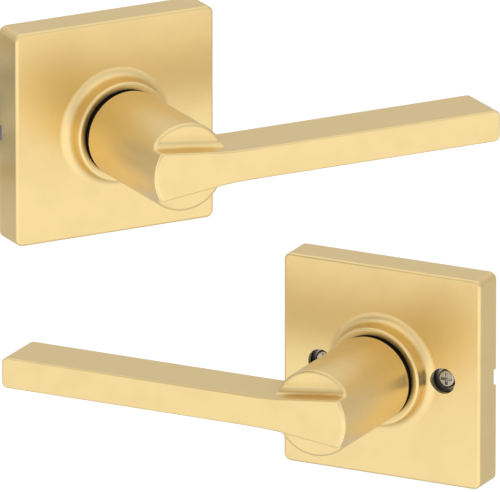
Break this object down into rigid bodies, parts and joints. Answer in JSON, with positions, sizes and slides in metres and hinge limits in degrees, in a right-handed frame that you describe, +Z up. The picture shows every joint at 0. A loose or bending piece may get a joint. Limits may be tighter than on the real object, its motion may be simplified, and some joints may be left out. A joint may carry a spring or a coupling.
{
  "type": "lever handle lockset",
  "caption": "Satin brass lever handle lockset for a door: square roses, straight flat levers, square spindle, tubular latch and through screws, with the inside trim set beside the outside one.",
  "frame": {"origin": "where the spindle axis crosses the back of the outside rose", "axes": "+X along the outside lever, +Y into the door, +Z up"},
  "size_m": [0.205, 0.1351, 0.1608],
  "materials": {
    "satin_brass": "satin brushed, clear lacquered",
    "brass_screws": "satin",
    "zinc_steel": "zinc plated",
    "nickel_steel": "nickel plated",
    "dark_steel": "black oxide",
    "spring_steel": "oiled spring steel",
    "black_nylon": "moulded, matte"
  },
  "bodies": {
    "fixed_trim": {"outside_rose": "satin_brass", "outside_mounting_plate": "zinc_steel", "outside_bushing": "black_nylon", "outside_spring_cup": "zinc_steel", "outside_return_spring": "spring_steel", "inside_rose": "satin_brass", "inside_mounting_plate": "zinc_steel", "inside_bushing": "black_nylon", "inside_spring_cup": "zinc_steel", "inside_return_spring": "spring_steel", "mounting_posts": "zinc_steel", "through_screws": "nickel_steel", "latch_faceplate": "satin_brass", "latch_back_plate": "zinc_steel", "latch_tube": "zinc_steel", "latch_case_left": "zinc_steel", "latch_case_right": "zinc_steel", "latch_rivets": "zinc_steel", "latch_bolt_spring": "spring_steel", "faceplate_screws": "brass_screws"},
    "outside_handle": {"outside_lever": "satin_brass", "outside_sleeve": "zinc_steel", "outside_set_screw": "dark_steel", "outside_spring_cam": "zinc_steel", "outside_retaining_ring": "spring_steel", "spindle": "zinc_steel"},
    "inside_handle": {"inside_lever": "satin_brass", "inside_sleeve": "zinc_steel", "inside_set_screw": "dark_steel", "inside_spring_cam": "zinc_steel", "inside_retaining_ring": "spring_steel"},
    "latch_cam": {"latch_hub": "zinc_steel"},
    "latch_slide": {"latch_bolt": "satin_brass", "latch_tail": "zinc_steel", "latch_retractor": "zinc_steel"}
  },
  "joints": [
    {"name": "outside_lever_turn", "type": "hinge", "parent": "fixed_trim", "child": "outside_handle", "pos_m": [0, 0, 0], "axis": [0, 1, 0], "range_deg": [0, 55], "stiffness_Nm_per_rad": 0.5, "springref_deg": -34.38, "deforming": ["outside_return_spring"]},
    {"name": "inside_lever_turn", "type": "hinge", "parent": "fixed_trim", "child": "inside_handle", "pos_m": [0.1054, 0.008, -0.0948], "axis": [-0.8111, -0.585, 0], "range_deg": [0, 55], "deforming": ["inside_return_spring"]},
    {"name": "latch_cam_turn", "type": "hinge", "parent": "fixed_trim", "child": "latch_cam", "pos_m": [0, 0.022, 0], "axis": [0, 1, 0], "range_deg": [0, 55]},
    {"name": "latch_bolt_slide", "type": "slide", "parent": "fixed_trim", "child": "latch_slide", "axis": [1, 0, 0], "range_m": [0, 0.011], "deforming": ["latch_bolt_spring"]}
  ],
  "couplings": [
    {"joint": "inside_lever_turn", "follows": "outside_lever_turn", "ratio": 1},
    {"joint": "latch_cam_turn", "follows": "outside_lever_turn", "ratio": 1},
    {"joint": "latch_bolt_slide", "follows": "outside_lever_turn", "m_per_rad": 0.011458}
  ]
}
